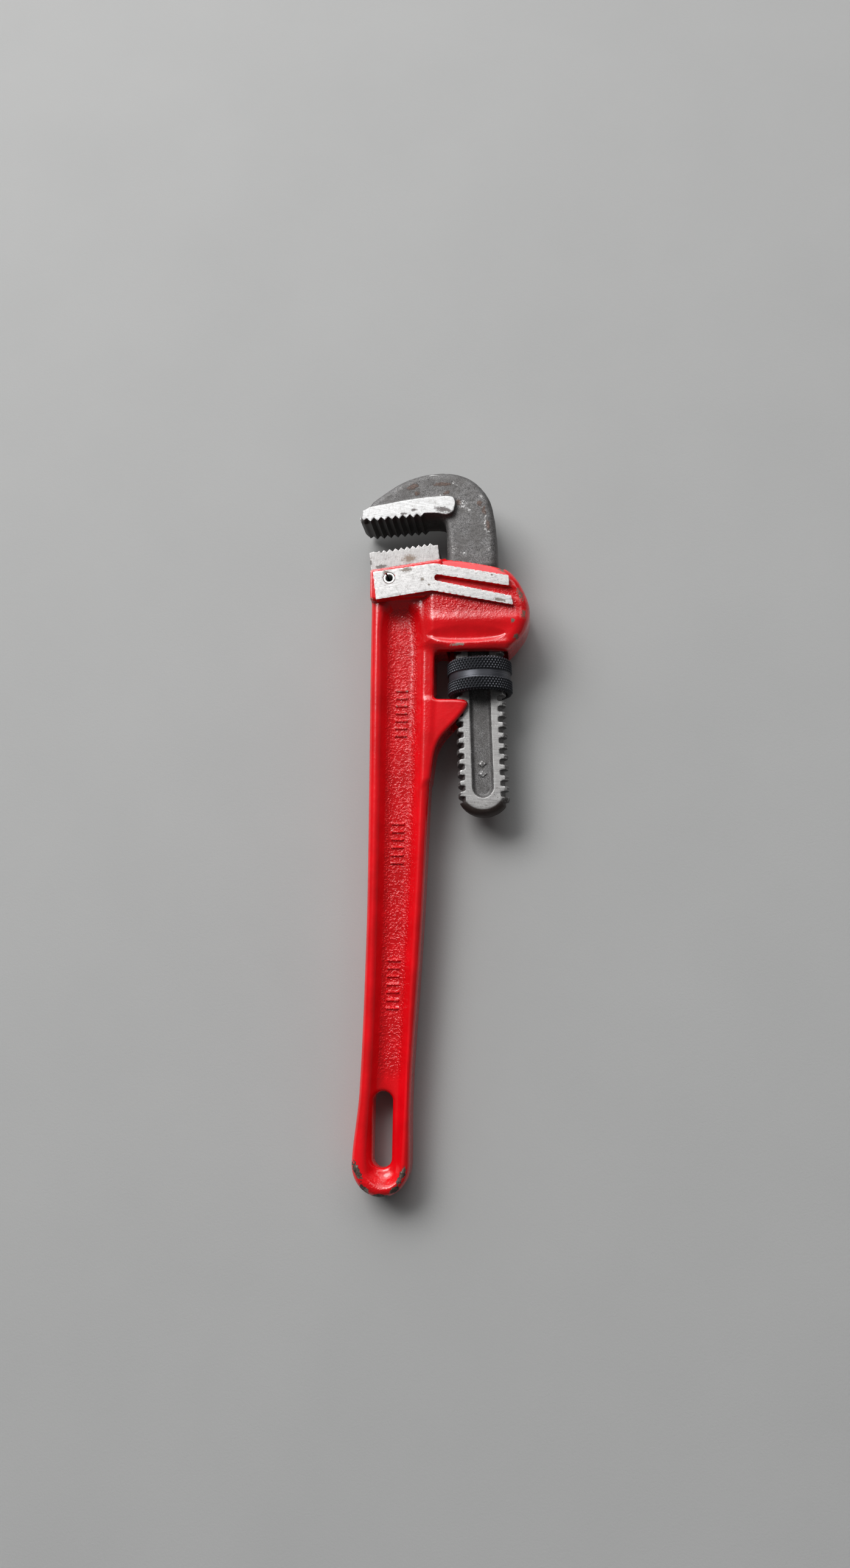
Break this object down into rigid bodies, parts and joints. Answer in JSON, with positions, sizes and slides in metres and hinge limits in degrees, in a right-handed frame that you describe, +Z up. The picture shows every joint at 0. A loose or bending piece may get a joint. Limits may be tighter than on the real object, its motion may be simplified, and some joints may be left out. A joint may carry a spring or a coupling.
{
  "type": "pipe wrench",
  "caption": "Straight pipe wrench with a red cast handle, a toothed hook jaw on a threaded shank, a knurled adjusting nut and a pinned heel jaw.",
  "frame": {"origin": "under the middle of the wrench's box, on the surface that it lies on", "axes": "+Y along the handle towards the jaws, +X from the jaws' mouth to the back of the head, +Z up, across the handle's sides"},
  "size_m": [0.0752, 0.3084, 0.0282],
  "materials": {
    "red_enamel": "glossy enamel over a rough casting, ground bare on the side faces of the head",
    "ground_steel": "ground, with scratches and stains",
    "pin_steel": "satin",
    "forged_steel": "dark forging scale, ground bright on the jaw's sides and the shank's flats",
    "black_oxide": "black oxide on a diamond knurl",
    "spring_steel": "satin"
  },
  "bodies": {
    "handle": {"handle": "red_enamel", "heel_jaw": "ground_steel", "heel_jaw_pin": "pin_steel", "coil_spring": "spring_steel"},
    "rocking_spring": {"flat_spring": "spring_steel"},
    "hook_jaw": {"hook_jaw": "forged_steel"},
    "adjusting_nut": {"adjusting_nut": "black_oxide"}
  },
  "joints": [
    {"name": "jaw_rock", "type": "hinge", "parent": "handle", "child": "rocking_spring", "pos_m": [0.0012, 0.11285, 0.0141], "axis": [0, 0, 1], "range_deg": [-1.4, 0], "stiffness_Nm_per_rad": 12, "springref_deg": 1.15, "deforming": ["coil_spring"]},
    {"name": "jaw_slide", "type": "slide", "parent": "rocking_spring", "child": "hook_jaw", "axis": [-0.0436, 0.999, 0], "range_m": [-0.0115, 0.046]},
    {"name": "nut_turn", "type": "hinge", "parent": "rocking_spring", "child": "adjusting_nut", "pos_m": [0.0158, 0.06185, 0.0141], "axis": [-0.0436, 0.999, 0], "range_deg": [-3590, 900]}
  ],
  "couplings": [
    {"joint": "nut_turn", "follows": "jaw_slide", "rad_per_m": -1360.6}
  ]
}
